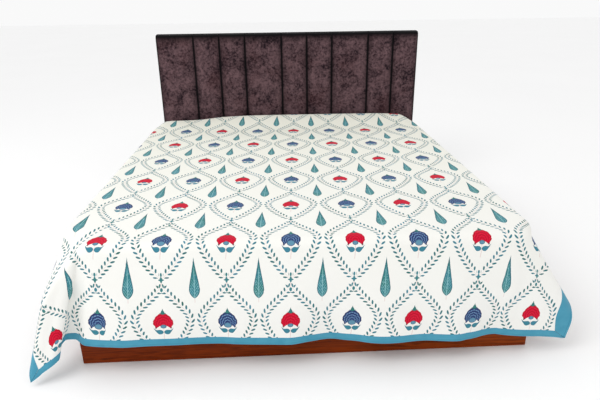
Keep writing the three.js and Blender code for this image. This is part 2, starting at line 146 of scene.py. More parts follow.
# Corner tables: (angle, run, bend, lean aside, lean out, kick out), from 0 degrees straight out
# over the end to 90 straight out over the side
LEFT_FOOT_CORNER = [
    (0, 162, 38, 0.05, 0.12, -8),
    (9, 163, 38, 0.19, 0.08, -4),
    (14, 165, 38, 0.28, -0.04, 0),
    (18, 165, 40, 0.33, -0.04, 0),
    (22, 155, 48, 0.34, 0.05, 0),
    (26, 140, 80, 0.26, 0.15, 0),
    (30, 115, 130, 0.27, 0.19, 0),
    (34, 75, 205, 0.29, 0.19, 0),
    (40, 10, 340, 0.29, 0.15, 0),
    (52, 30, 270, 0.12, 0.00, 0),
    (65, 80, 160, 0.05, 0.00, 0),
    (78, 140, 60, 0.10, 0.00, 0),
    (90, 162, 38, 0.08, 0.00, 0),
]
RIGHT_FOOT_CORNER = [
    (0, 102, 38, 0.00, 0.05, -22),
    (14, 104, 38, 0.25, 0.05, 0),
    (23, 107, 40, 0.40, 0.06, 0),
    (27, 107, 40, 0.46, 0.06, 0),
    (31, 106, 42, 0.60, 0.06, 0),
    (35, 103, 44, 0.69, 0.05, -30),
    (40, 99, 45, 0.68, 0.00, -85),
    (47, 95, 46, 0.53, -0.07, -40),
    (54, 93, 46, 0.36, -0.10, 0),
    (66, 96, 42, 0.18, -0.08, 0),
    (78, 100, 40, 0.14, -0.05, 0),
    (90, 102, 38, 0.11, 0.00, 0),
]
LEFT_HEAD_CORNER = [
    (0, 102, 38, 0.00, 0.00, 0),
    (14, 105, 38, 0.20, -0.02, 0),
    (28, 110, 40, 0.36, -0.04, 0),
    (40, 115, 45, 0.46, -0.06, 0),
    (50, 110, 50, 0.34, -0.12, 0),
    (64, 102, 45, 0.16, -0.12, 0),
    (78, 102, 40, 0.12, -0.06, 0),
    (90, 102, 38, 0.08, 0.00, 0),
]
RIGHT_HEAD_CORNER = [
    (0, 102, 38, 0.00, 0.00, 0),
    (14, 105, 38, 0.20, -0.02, 0),
    (28, 110, 40, 0.38, -0.04, 0),
    (40, 115, 45, 0.50, -0.06, 0),
    (50, 110, 50, 0.40, -0.14, 0),
    (64, 102, 45, 0.20, -0.12, 0),
    (78, 102, 40, 0.15, -0.06, 0),
    (90, 102, 38, 0.11, 0.00, 0),
]

# (side x, side y, how far the corner's centre lies inside the folds, its table)
CORNERS = [
    (-1, -1, 200, LEFT_FOOT_CORNER),
    (1, -1, 140, RIGHT_FOOT_CORNER),
    (-1, 1, 140, LEFT_HEAD_CORNER),
    (1, 1, 140, RIGHT_HEAD_CORNER),
]
EDGES = [
    (0, -1, FOOT_FOLDS),
    (0, 1, HEAD_FOLDS),
    (-1, 0, LEFT_FOLDS),
    (1, 0, RIGHT_FOLDS),
]

# (side x, side y, radius in plan, radius of the top edge halfway round) for the mattress
MATTRESS_CORNERS = [
    (-1, -1, 240, 200),
    (1, -1, 160, 80),
    (1, 1, 160, 80),
    (-1, 1, 160, 80),
]

# ---- Drape of the cloth ----


def between(rows, place):
    """Reads a fold table at places between its rows, along smooth curves that never overshoot."""
    rows = np.array(rows, float)
    keys = rows[:, 0]
    place = np.clip(place, keys[0], keys[-1])
    k = np.clip(np.searchsorted(keys, place, side="right") - 1, 0, len(keys) - 2)
    span = keys[k + 1] - keys[k]
    t = (place - keys[k]) / span
    rise = t * t * (3 - 2 * t)
    read = []
    for values in rows[:, 1:].T:
        steps = np.diff(values) / np.diff(keys)
        before, after = steps[:-1], steps[1:]
        alike = before * after > 0
        total = np.where(alike, before + after, 1)
        slopes = np.zeros(len(keys))
        slopes[1:-1] = np.where(alike, 2 * before * after / total, 0)
        bent = slopes[k] * t * (1 - t) ** 2 - slopes[k + 1] * t * t * (1 - t)
        read.append(values[k] * (1 - rise) + values[k + 1] * rise + span * bent)
    return read


def ease(value, start, end):
    """0 before start and 1 after end, smooth in between."""
    t = np.clip((value - start) / (end - start), 0, 1)
    return t * t * (3 - 2 * t)


def lay_flat(u, v):
    """The cloth's own place, laid flat at the level of the mattress top."""
    x = LIE_X + u * math.cos(LIE_TURN) - v * math.sin(LIE_TURN)
    y = LIE_Y + u * math.sin(LIE_TURN) + v * math.cos(LIE_TURN)
    across, along = x / 1000, y / 1000
    return x + BOW_ALONG * along**2, y + BOW_ACROSS * across**2 + SKEW * across * along


def vectors(x, y, z):
    """Three numbers or arrays as one array of points."""
    return np.stack(np.broadcast_arrays(x, y, z), -1).astype(float)


def unit(vector):
    return vector / np.linalg.norm(vector, axis=-1, keepdims=True)


def hang(start, out, length, run, bend, lean, kick):
    """A strip of cloth that runs from start along out, bends down and hangs."""
    down = unit(vectors(lean[0], lean[1], -1))
    along = (out * down).sum(-1, keepdims=True)
    turn = np.arccos(np.clip(along, -1, 1))
    inward = unit(down - along * out)
    length, run, bend = (np.asarray(value, float)[..., None] for value in (length, run, bend))
    angle = np.clip((length - run) / bend, 0, turn)
    straight = np.maximum(length - run - bend * turn, 0)
    kicked = vectors(kick[0], kick[1], 0) * (straight / KICK_REACH) ** 2
    flat = np.minimum(length, run) + bend * np.sin(angle)
    return start + out * flat + inward * bend * (1 - np.cos(angle)) + down * straight + kicked


def corner_centre(side_x, side_y):
    inset = next(c[2] for c in CORNERS if c[:2] == (side_x, side_y))
    return side_x * (FOLD_X - inset), side_y * (FOLD_Y - inset)


def over_corner(x, y, side_x, side_y, rows):
    """The cloth over one corner, and how far beyond the corner's two inner lines it is."""
    centre_x, centre_y = corner_centre(side_x, side_y)
    dx = side_x * (x - centre_x)
    dy = side_y * (y - centre_y)
    angle = np.arctan2(dx, dy)
    run, bend, aside, out_lean, out_kick = between(rows, np.degrees(angle))
    out = vectors(side_x * np.sin(angle), side_y * np.cos(angle), 0)
    start = vectors(centre_x, centre_y, CLOTH_TOP + 0 * x)
    lean = (side_x * aside, side_y * out_lean)
    kick = (0 * x, side_y * out_kick)
    return hang(start, out, np.hypot(dx, dy), run, bend, lean, kick), np.minimum(dx, dy)


def over_edge(x, y, side_x, side_y, rows):
    """The cloth over one straight edge, and how far beyond the edge's inner line it is."""
    along_x = side_x == 0
    from_x, from_y = corner_centre(-1 if along_x else side_x, side_y if along_x else -1)
    to_x, to_y = corner_centre(1 if along_x else side_x, side_y if along_x else 1)
    share = (x - from_x) / (to_x - from_x) if along_x else (y - from_y) / (to_y - from_y)
    share = np.clip(share, 0, 1)
    inner_x = from_x + (to_x - from_x) * share
    inner_y = from_y + (to_y - from_y) * share
    start = vectors(x if along_x else inner_x, inner_y if along_x else y, CLOTH_TOP)
    length = side_y * (y - inner_y) if along_x else side_x * (x - inner_x)
    inset = FOLD_Y - np.abs(inner_y) if along_x else FOLD_X - np.abs(inner_x)
    out_lean, out_kick, aside = between(rows, x if along_x else y)
    lean = (side_x * out_lean + (aside if along_x else 0), side_y * out_lean)
    kick = (side_x * out_kick, side_y * out_kick)
    out = vectors(side_x + 0 * x, side_y, 0)
    bend = FOLD_RADIUS + 0 * x
    return hang(start, out, np.maximum(length, 0), inset - FOLD_RADIUS, bend, lean, kick), length


def head_rise(place):
    """How far the cloth is pushed up along the head end, fading out down its hanging edge."""
    x, y, z = place[..., 0], place[..., 1], place[..., 2]
    return between(HEAD_RISE, x)[0] * ease(y, 700, 980) * ease(z, CLOTH_TOP - 180, CLOTH_TOP - 30)


def drape(u, v):
    """Middle of the cloth's thickness for places (u, v), without its small creases."""
    x, y = lay_flat(u, v)
    place = vectors(x, y, CLOTH_TOP)
    done = np.zeros(x.shape, bool)
    for side_x, side_y, _, rows in CORNERS:
        over, beyond = over_corner(x, y, side_x, side_y, rows)
        here = (beyond > 0) & ~done
        place[here] = over[here]
        done |= here
    for side_x, side_y, rows in EDGES:
        over, beyond = over_edge(x, y, side_x, side_y, rows)
        here = (beyond > 0) & ~done
        place[here] = over[here]
        done |= here
    place[..., 2] += head_rise(place)
    return place


def face_direction(u, v, reach=4):
    """Direction out of the cloth's printed face."""
    across = drape(u + reach, v) - drape(u - reach, v)
    along = drape(u, v + reach) - drape(u, v - reach)
    return unit(np.cross(across, along))


def bump(value, middle, width):
    return np.exp(-(((value - middle) / width) ** 2))


# (x, depth or height, width) of the soft troughs and ridges down the front
TROUGHS = [(648, -4.5, 22), (214, -2.5, 30), (395, 2.0, 45), (-300, -2.0, 35)]
EDGE_CREASE = 8  # how far the crease over the mattress's lower edge stands out
CREASE_ROUND = 9  # how rounded its fold is
CREASE_ABOVE, CREASE_BELOW = 210, 150  # over what heights it fades out


def relief(place, v):
    """How far soft creases and troughs lift the cloth off its main shape, in millimetres."""
    x, y, z = place[..., 0], place[..., 1], place[..., 2]
    over_foot = ease(-y, FOLD_Y - 30, FOLD_Y + 5) * ease(-x, -860, -800) * ease(x, -720, -640)
    hem = ease(v, FOOT_V, FOOT_V + 90)
    below = z - MATTRESS_BOTTOM
    rounded = np.sqrt(below**2 + CREASE_ROUND**2) - CREASE_ROUND
    reach = np.where(below > 0, CREASE_ABOVE, CREASE_BELOW)
    edge_crease = EDGE_CREASE * np.clip(1 - rounded / reach, 0, 1)
    fall = ease(CLOTH_TOP - z, 40, 300)
    troughs = sum(height * bump(x, middle, width) for middle, height, width in TROUGHS)
    troughs = troughs + 1.5 * np.sin(x / 41 + 0.6)
    lift = over_foot * (edge_crease * hem + troughs * fall)
    over_side = ease(np.abs(x), FOLD_X - 20, FOLD_X + 15) * ease(-y, -830, -740) * ease(y, -760, -680)
    ripples = 1.6 * np.sin(y / 67 + 1.1 * np.sign(x)) + 1.1 * np.sin(y / 29 + 0.8)
    lift = lift + over_side * ease(CLOTH_TOP - z, 20, 140) * ripples
    on_top = ease(z, CLOTH_TOP - 1, CLOTH_TOP) * ease(-y, -950, -700)
    waves = np.sin(x / 171 + 0.4) * np.sin(y / 213 - 0.7) + 0.6 * np.sin(x / 97 - y / 134)
    inward = ease(FOLD_X - np.abs(x), 20, 160) * ease(FOLD_Y - np.abs(y), 20, 160)
    return lift + on_top * inward * (1.1 + 0.65 * waves)


# ---- Nets of cloth places, whose lines follow the folds ----

BEND_START_X = FOLD_X - FOLD_RADIUS
BEND_END_X = FOLD_X + 25
BEND_START_Y = FOLD_Y - FOLD_RADIUS
BEND_END_Y = FOLD_Y + 25
ACROSS_STEPS = [18, 6, 14, 106, 9, 6, 17]
ALONG_STEPS = [46, 6, 16, 112, 9, 6, 12]
MITRE_LINES = 8  # lines over which the slant of a mitred end fades out
# Shares of a strip's width at which its lines lie, from the seam to the hem
SIDE_WAYS = np.array([0.0, 0.12, 0.3, 0.5, 0.7, 0.86, 1 - HEM_WIDTH / SIDE_BORDER, 1.0])
END_WAYS = np.array([0.0, 0.15, 0.4, 0.6, 1 - HEM_WIDTH / END_BORDER, 0.9, 1.0])


def u_at(x, v):
    u = x - LIE_X + 0 * v
    for _ in range(6):
        u = u + x - lay_flat(u, v)[0]
    return u


def v_at(y, u):
    v = y - LIE_Y + 0 * u
    for _ in range(6):
        v = v + y - lay_flat(u, v)[1]
    return v


def across_bounds(v):
    left_x = corner_centre(-1, -1)[0]
    right_x = corner_centre(1, -1)[0]
    beds = [-BEND_END_X, -BEND_START_X, left_x, right_x, BEND_START_X, BEND_END_X]
    return [-PANEL_SIDE + 0 * v, *(u_at(x, v) for x in beds), PANEL_SIDE + 0 * v]


def along_bounds(u):
    foot_y = corner_centre(-1, -1)[1]
    head_y = corner_centre(1, 1)[1]
    beds = [-BEND_END_Y, -BEND_START_Y, foot_y, head_y, BEND_START_Y, BEND_END_Y]
    return [PANEL_FOOT + 0 * u, *(v_at(y, u) for y in beds), PANEL_HEAD + 0 * u]


def shares(steps):
    """Each line of a net as its zone and its share of the way through the zone."""
    zones = np.concatenate([np.full(count, k) for k, count in enumerate(steps)])
    ways = np.concatenate([np.arange(count) / count for count in steps])
    return np.append(zones, len(steps) - 1), np.append(ways, 1.0)


def on_lines(bounds, zones, ways):
    stacked = np.stack(bounds)
    before = np.take_along_axis(stacked, zones[None], 0)[0]
    after = np.take_along_axis(stacked, zones[None] + 1, 0)[0]
    return before * (1 - ways) + after * ways


def panel_net():
    """Places (u, v) of the printed panel. Rows run along the cloth, columns across it."""
    along_zones, along_ways = shares(ALONG_STEPS)
    across_zones, across_ways = shares(ACROSS_STEPS)
    along_zones, across_zones = np.meshgrid(along_zones, across_zones, indexing="ij")
    along_ways, across_ways = np.meshgrid(along_ways, across_ways, indexing="ij")
    u = np.zeros(along_ways.shape)
    v = np.zeros(along_ways.shape)
    for _ in range(6):
        u = on_lines(across_bounds(v), across_zones, across_ways)
        v = on_lines(along_bounds(u), along_zones, along_ways)
    return u, v


def strip_net(edge, seam_at, side, border, other_border, ways):
    """Places along a strip, across it and from its hem. Its two ends run along the mitres."""
    fade = np.clip(1 - np.arange(len(edge)) / MITRE_LINES, 0, 1)
    along = edge[:, None] + (fade[::-1] - fade)[:, None] * (other_border * ways - SEAM)
    across = seam_at + side * (SEAM + (border - SEAM) * ways) + 0 * along
    from_hem = border * (1 - ways) + 0 * along
    return [part[:, ::side] for part in (along, across, from_hem)]


def side_strip_net(panel_v, side):
    """Places (u, v) of a side strip, and how far each is from the hem."""
    edge = panel_v[:, -1 if side > 0 else 0]
    v, u, from_hem = strip_net(edge, side * PANEL_SIDE, side, SIDE_BORDER, END_BORDER, SIDE_WAYS)
    return u, v, from_hem


def end_strip_net(panel_u, side):
    """Places (u, v) of a foot or head strip, and how far each is from the hem."""
    edge, seam_at = (panel_u[-1], PANEL_HEAD) if side > 0 else (panel_u[0], PANEL_FOOT)
    parts = strip_net(edge, seam_at, side, END_BORDER, SIDE_BORDER, END_WAYS)
    return [part.T for part in parts]


# ---- Meshes ----


def new_piece(name, points, faces, material, sharp_degrees=55):
    """A smooth mesh object, from points in millimetres round the bed's middle."""
    placed = np.asarray(points, float) * MM + np.array([BED_MIDDLE.x, BED_MIDDLE.y, 0])
    mesh = bpy.data.meshes.new(name)
    mesh.from_pydata(placed.tolist(), [], [list(face) for face in faces])
    mesh.shade_smooth()
    mesh.set_sharp_from_angle(angle=math.radians(sharp_degrees))
    mesh.materials.append(material)
    piece = bpy.data.objects.new(name, mesh)
    bpy.context.collection.objects.link(piece)
    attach(piece, "root")
    return piece


def add_map(piece, name, across, along):
    """A UV map from two numbers for each vertex."""
    mesh = piece.data
    corners = np.empty(len(mesh.loops), np.int32)
    mesh.loops.foreach_get("vertex_index", corners)
    places = np.stack([across, along], -1)[corners]
    mesh.uv_layers.new(name=name).uv.foreach_set("vector", places.astype(np.float32).ravel())


def add_values(piece, name, values):
    """One number for each vertex, which a material can read."""
    piece.data.attributes.new(name, "FLOAT", "POINT").data.foreach_set("value", values)


def sheet_faces(rows, columns):
    """Faces of a thin closed solid: a front grid, a back grid and the rim between them."""
    grid = np.arange(rows * columns).reshape(rows, columns)
    a, b, c, d = grid[:-1, :-1], grid[:-1, 1:], grid[1:, 1:], grid[1:, :-1]
    front = np.stack([a, b, c, d], -1).reshape(-1, 4)
    back = np.stack([a, d, c, b], -1).reshape(-1, 4) + rows * columns
    round_edge = np.concatenate([grid[0, :-1], grid[:-1, -1], grid[-1, :0:-1], grid[:0:-1, 0]])
    onward = np.roll(round_edge, -1)
    lower = rows * columns
    rim = np.stack([onward, round_edge, round_edge + lower, onward + lower], -1)
    return np.concatenate([front, back, rim])


def cloth_piece(name, u, v, front, back, material):
    """A piece of cloth over places (u, v), with its thickness in front of and behind its middle."""
    middle = drape(u, v)
    out = face_direction(u, v)
    middle = middle + out * relief(middle, v)[..., None]
    faces = sheet_faces(*u.shape)
    both = [middle + out * np.asarray(front)[..., None], middle - out * np.asarray(back)[..., None]]
    points = np.concatenate([side.reshape(-1, 3) for side in both])
    piece = new_piece(f"fine_{name}", points, faces, material)
    twice_u = np.tile(u.ravel(), 2)
    twice_v = np.tile(v.ravel(), 2)
    add_map(piece, "cloth", twice_u / 10, twice_v / 10)
    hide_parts(name)
    return piece


def lofted(name, rings, material, sharp_degrees=40):
    """A closed solid through a stack of rings, from the lowest to the highest."""
    rings = np.asarray(rings, float)
    levels, count = rings.shape[:2]
    ids = np.arange(levels * count).reshape(levels, count)
    onward = np.roll(ids, -1, 1)
    walls = np.stack([ids[:-1], onward[:-1], onward[1:], ids[1:]], -1).reshape(-1, 4)
    middles = [rings[0].mean(0), rings[-1].mean(0)]
    low_middle = levels * count
    high_middle = low_middle + 1
    faces = [list(face) for face in walls]
    for i in range(count):
        faces.append([ids[0, i], low_middle, onward[0, i]])
        faces.append([ids[-1, i], onward[-1, i], high_middle])
    points = np.concatenate([rings.reshape(-1, 3), middles])
    return new_piece(name, points, faces, material, sharp_degrees)


def in_bed_millimetres(node):
    """A CAD node's lowest and highest corners, in millimetres from the middle of the mattress."""
    offset = Vector((BED_MIDDLE.x, BED_MIDDLE.y, 0))
    return [(Vector(corner) - offset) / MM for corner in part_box(node)]


def board(node, name, bevel, material):
    """A board with softened edges in the place of a CAD block."""
    low, high = in_bed_millimetres(node)
    solid = bmesh.new()
    corners = {}
    for x in (low.x, high.x):
        for y in (low.y, high.y):
            for z in (low.z, high.z):
                corners[x, y, z] = solid.verts.new((x, y, z))
    bmesh.ops.convex_hull(solid, input=list(corners.values()))
    bmesh.ops.dissolve_limit(solid, angle_limit=0.01, verts=solid.verts[:], edges=solid.edges[:])
    bmesh.ops.bevel(solid, geom=solid.edges[:], offset=bevel, segments=4, profile=0.6, affect="EDGES")
    points = [vertex.co[:] for vertex in solid.verts]
    solid.verts.index_update()
    faces = [[vertex.index for vertex in face.verts] for face in solid.faces]
    solid.free()
    piece = new_piece(name, points, faces, material, 30)
    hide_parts(node)
    return piece


# ---- Shader arithmetic ----


def colour(red, green, blue):
    """An sRGB colour, from 0 to 255, as the linear one that shaders take."""

    def linear(value):
        share = value / 255
        return share / 12.92 if share <= 0.04045 else ((share + 0.055) / 1.055) ** 2.4

    return (linear(red), linear(green), linear(blue), 1.0)


class Term:
    """A number that varies over a surface, so that a pattern can be written as arithmetic."""

    def __init__(self, tree, socket):
        self.tree = tree
        self.socket = socket

    def maths(self, operation, *others, clamp=False):
        node = self.tree.nodes.new("ShaderNodeMath")
        node.operation = operation
        node.use_clamp = clamp
        for entry, value in zip(node.inputs, (self, *others)):
            if isinstance(value, Term):
                self.tree.links.new(value.socket, entry)
            else:
                entry.default_value = value
        return Term(self.tree, node.outputs[0])

    def __add__(self, other):
        return self.maths("ADD", other)

    def __sub__(self, other):
        return self.maths("SUBTRACT", other)

    def __mul__(self, other):
        return self.maths("MULTIPLY", other)

    def __truediv__(self, other):
        return self.maths("DIVIDE", other)

    def __pow__(self, other):
        return self.maths("POWER", other)

    def __abs__(self):
        return self.maths("ABSOLUTE")

    def least(self, other):
        return self.maths("MINIMUM", other)

    def most(self, other):
        return self.maths("MAXIMUM", other)

    def rounded(self):
        return self.maths("ROUND")

    def fraction(self):
        return self.maths("FRACT")

    def sine(self):
        return self.maths("SINE")

    def clamped(self):
        """Kept between 0 and 1."""
        return self.maths("ADD", 0.0, clamp=True)

    def inside(self, blur=0.05):
        """1 where this distance is below 0, with an edge about blur wide."""
        return (self / -blur + 0.5).clamped()

    def band(self, middle, half, blur):
        """1 within half of middle, with edges about blur wide."""
        return (abs(self - middle) - half).inside(blur)

    def curve(self, points, low, high, tall):
        """Reads a smooth curve through (place, value) points, places from low to high and
        values from 0 to tall."""
        node = self.tree.nodes.new("ShaderNodeFloatCurve")
        line = node.mapping.curves[0]
        for _ in range(len(points) - 2):
            line.points.new(0.5, 0.5)
        for knot, (place, value) in zip(line.points, points):
            knot.location = ((place - low) / (high - low), value / tall)
        node.mapping.update()
        share = (self - low) / (high - low)
        self.tree.links.new(share.socket, node.inputs["Value"])
        return Term(self.tree, node.outputs[0]) * tall


def length_of(x, y):
    return (x * x + y * y) ** 0.5


def ellipse(x, y, middle, half, degrees=0):
    """Distance outside an ellipse, in the pattern's own unit, near enough at its edge."""
    along = (x - middle[0], y - middle[1])
    turn = math.radians(degrees)
    across = along[0] * math.cos(turn) + along[1] * math.sin(turn)
    upward = along[1] * math.cos(turn) - along[0] * math.sin(turn)
    return (length_of(across / half[0], upward / half[1]) - 1.0) * min(half)


class Look:
    """A material that is built up by painting one mask after another over its ground."""

    def __init__(self, name, roughness=0.8, sheen=0.0, specular=0.2):
        self.material = bpy.data.materials.new(name)
        self.material.use_nodes = True
        self.tree = self.material.node_tree
        self.shader = self.tree.nodes["Principled BSDF"]
        self.shader.inputs["Roughness"].default_value = roughness
        self.shader.inputs["Sheen Weight"].default_value = sheen
        self.shader.inputs["Specular IOR Level"].default_value = specular
        self.painted = None

    def node(self, kind, **settings):
        made = self.tree.nodes.new(kind)
        for name, value in settings.items():
            setattr(made, name, value)
        return made

    def link(self, source, entry):
        self.tree.links.new(source.socket if isinstance(source, Term) else source, entry)

    def uv(self, name):
        """The two numbers of a UV map, and its vector."""
        place = self.node("ShaderNodeUVMap", uv_map=name).outputs[0]
        split = self.node("ShaderNodeSeparateXYZ")
        self.link(place, split.inputs[0])
        return Term(self.tree, split.outputs[0]), Term(self.tree, split.outputs[1]), place

    def object_place(self):
        """Object coordinates, in metres, and their three numbers."""
        place = self.node("ShaderNodeTexCoord").outputs["Object"]
        split = self.node("ShaderNodeSeparateXYZ")
        self.link(place, split.inputs[0])
        return place, [Term(self.tree, split.outputs[i]) for i in range(3)]

    def stretched(self, place, scale):
        node = self.node("ShaderNodeMapping")
        node.inputs["Scale"].default_value = scale
        self.link(place, node.inputs["Vector"])
        return node.outputs[0]

    def noise(self, place, scale, detail=2.0, rough=0.5, distortion=0.0):
        node = self.node("ShaderNodeTexNoise")
        values = {"Scale": scale, "Detail": detail, "Roughness": rough, "Distortion": distortion}
        for name, value in values.items():
            node.inputs[name].default_value = value
        self.link(place, node.inputs["Vector"])
        return Term(self.tree, node.outputs[0])

    def attribute(self, name):
        node = self.node("ShaderNodeAttribute", attribute_name=name)
        return Term(self.tree, node.outputs["Fac"])

    def blend(self, share, first, second):
        """A colour between two, each a colour or a socket."""
        node = self.node("ShaderNodeMix", data_type="RGBA")
        if isinstance(share, Term):
            self.link(share, node.inputs["Factor"])
        else:
            node.inputs["Factor"].default_value = share
        for value, entry in ((first, node.inputs[6]), (second, node.inputs[7])):
            if isinstance(value, tuple):
                entry.default_value = value
            else:
                self.link(value, entry)
        return node.outputs[2]

    def paint(self, mask, value):
        self.painted = self.blend(mask, self.painted, value)

    def rough(self, term):
        self.link(term.clamped(), self.shader.inputs["Roughness"])

    def raised(self, height, distance, strength=1.0):
        """Bump from a height term; distance is in metres for a height of 1."""
        node = self.node("ShaderNodeBump")
        node.inputs["Strength"].default_value = strength
        node.inputs["Distance"].default_value = distance
        self.link(height, node.inputs["Height"])
        self.link(node.outputs[0], self.shader.inputs["Normal"])

    def finished(self):
        self.link(self.painted, self.shader.inputs["Base Color"])
        return self.material


# ------------------------------
# The block print. Its unit is the centimetre, x across from the middle of a column and y
# towards the head from the middle of a row, where a flower's cap is.
# ------------------------------

TILE_X = COLUMN / 10
TILE_Y = ROW / 10
VINE_REACH = 0.415 * TILE_X
HEAD_ARCH = 2.5  # how pointed the vine's arch is towards the head
FOOT_ARCH = 1.55
LEAF_STEP = 1.9
LEAF_OFF = 0.98
LEAF_HALF = (0.88, 0.35)
LEAF_TURN = 40

CRIMSON = colour(208, 0, 44)
CRIMSON_DARK = colour(160, 0, 32)
CRIMSON_LIGHT = colour(222, 30, 76)
CRIMSON_TIP = colour(90, 8, 38)
NAVY = colour(30, 40, 88)
BLUE = colour(54, 82, 134)
BLUE_LIGHT = colour(122, 160, 190)
CALYX = colour(86, 136, 160)
TEAL = colour(56, 126, 142)
TEAL_GREEN = colour(50, 118, 112)
TEAL_DEEP = colour(22, 78, 96)
TEAL_LIGHT = colour(150, 198, 202)
LEAF_BLUE = colour(64, 130, 152)
LEAF_GREEN = colour(34, 96, 88)
TWIG = colour(218, 190, 186)


def vine_half_width(y):
    t = min(abs(y) / (TILE_Y / 2), 1)
    if y > 0:
        return VINE_REACH * (1 - t * t) ** HEAD_ARCH
    return VINE_REACH * (1 - t**FOOT_ARCH)


def vine_curves():
    """(y, half width), (y, slope of the half width) and (y, length so far) along one vine."""
    count = 28
    step = TILE_Y / count
    ys = [-TILE_Y / 2 + i * step for i in range(count + 1)]
    widths = [vine_half_width(y) for y in ys]
    small = 0.02
    slopes = [(vine_half_width(y + small) - vine_half_width(y - small)) / (2 * small) for y in ys]
    lengths = [0.0]
    for before, after in zip(widths, widths[1:]):
        lengths.append(lengths[-1] + math.hypot(after - before, step))
    return list(zip(ys, widths)), list(zip(ys, slopes)), list(zip(ys, lengths))


def paint_vine(look, x, y, junction_y, tint):
    """Leafy vines that swing out and back, one on each side of a column."""
    widths, slopes, lengths = vine_curves()
    half = TILE_Y / 2
    steepest = 2.4  # added to the slopes, because a curve holds no values below 0
    width = y.curve(widths, -half, half, VINE_REACH)
    slope = y.curve([(p, s + steepest) for p, s in slopes], -half, half, 2 * steepest) - steepest
    length = y.curve(lengths, -half, half, lengths[-1][1])
    away = abs(x) - width
    lean = (slope * slope + 1.0) ** 0.5
    distance = away / lean
    along = length + away * slope / lean
    pair = along / LEAF_STEP
    place = (pair - pair.rounded()) * LEAF_STEP
    leaf = ellipse(place, abs(distance), (0.02, LEAF_OFF), LEAF_HALF, LEAF_TURN)
    # No leaf is printed over the cross or the stalk below it
    round_cross = (abs(x) - 1.8).most(abs(junction_y + 0.8) - 1.4)
    round_stalk = (abs(x) - 0.75).most(abs(junction_y + 0.9) - 4.1)
    clear = round_cross.least(round_stalk).inside(0.1)
    stem = (abs(distance) - 0.07).inside(0.08)
    look.paint(stem * 0.7, TWIG)
    leaf_tint = look.blend(tint, LEAF_GREEN, LEAF_BLUE)
    look.paint(leaf.inside() * (clear * -1.0 + 1.0), leaf_tint)


def paint_junction(look, x, y, tint):
    """The small cross where four vines meet, with a leaf above it and a bud and leaves below."""
    side = abs(x)
    shapes = [
        ellipse(x, y, (0, 0), (1.05, 0.38)),
        ellipse(x, y, (0, 0), (0.42, 1.2)),
        ellipse(x, y, (0, 2.0), (0.38, 0.78)),
        ellipse(side, y, (0.6, -2.3), (0.3, 0.8), 14),
        ellipse(x, y, (0, -3.9), (0.5, 0.8)),
    ]
    stem = (side - 0.08).inside(0.06) * y.band(-2.4, 2.2, 0.1)
    look.paint(stem * 0.7, TWIG)
    nearest = shapes[0]
    for shape in shapes[1:]:
        nearest = nearest.least(shape)
    look.paint(nearest.inside(), look.blend(tint, TEAL_GREEN, LEAF_BLUE))


CYPRESS = [
    (-7.4, 0.0),
    (-7.0, 0.55),
    (-6.2, 1.25),
    (-5.0, 1.8),
    (-3.9, 1.97),
    (-2.2, 1.8),
    (1.4, 1.17),
    (4.9, 0.55),
    (7.6, 0.13),
    (8.7, 0.0),
]


def paint_cypress(look, x, y, within, dots, tint):
    """A tall cypress with a light middle vein, side veins and dots, where within is 1."""
    low, high, tall = CYPRESS[0][0], CYPRESS[-1][0], 2.0
    width = y.curve(CYPRESS, low, high, tall)
    side = abs(x)
    body = (side - width).most(abs(y - (low + high) / 2) - (high - low) / 2)
    inside = body.inside() * within
    twig = (side - 0.09).inside(0.06) * y.band(-8.2, 0.85, 0.1)
    look.paint(twig * within * 0.8, TWIG)
    look.paint(inside, look.blend(tint, TEAL_GREEN, TEAL))
    rim = body.band(-0.14, 0.12, 0.08)
    look.paint(rim * inside * 0.7, TEAL_DEEP)
    speckle = (dots - 0.26).inside(0.1) * (body + 0.35).inside(0.1) * within
    look.paint(speckle * 0.75, TEAL_LIGHT)
    vein = (side - 0.1).inside(0.08) * (y - 4.0).inside(2.0)
    ribs = ((y - side * 1.7) / 1.3).fraction()
    rib = ribs.band(0.5, 0.09, 0.08) * (y + 0.2).inside(1.4) * (body + 0.3).inside(0.1)
    look.paint(vein.most(rib * 0.8) * inside * 0.9, TEAL_LIGHT)


CAP_MIDDLE_Y = -1.9
CAP_OUTLINE = [
    (0, 4.95),
    (12, 5.0),
    (24, 4.75),
    (38, 4.35),
    (52, 4.05),
    (66, 3.85),
    (78, 3.65),
    (88, 3.35),
    (99, 3.05),
    (116, 2.85),
    (180, 2.6),
]
MOUSTACHE = [
    (0.12, 0.15),
    (0.4, 0.62),
    (0.9, 0.95),
    (1.5, 1.02),
    (2.1, 0.78),
    (2.6, 0.45),
    (3.1, 0.24),
    (3.5, 0.0),
]
BUD = [(2.7, 0.3), (3.1, 0.62), (3.6, 0.66), (4.1, 0.44), (4.7, 0.16), (5.3, 0.0)]


def paint_flower_leaves(look, x, y, tint):
    """The stem and its two curled leaves."""
    side = abs(x)
    stem = (abs(x - (y * 0.9).sine() * 0.1) - 0.1).inside(0.07) * y.band(-5.7, 2.8, 0.15)
    look.paint(stem * 0.85, TWIG)

    curl = (side - 1.55).most(0.0)
    middle = curl * curl * 0.5 - 4.95
    width = side.curve(MOUSTACHE, MOUSTACHE[0][0], MOUSTACHE[-1][0], 1.0)
    leaf = (abs(y - middle) - width).most(abs(side - 1.81) - 1.69)
    look.paint(leaf.inside(), look.blend(tint, LEAF_BLUE, TEAL))
    fold = y.band(middle, 0.06, 0.06).most(leaf.band(-0.1, 0.07, 0.06))
    look.paint(fold * leaf.inside() * 0.45, TEAL_DEEP)


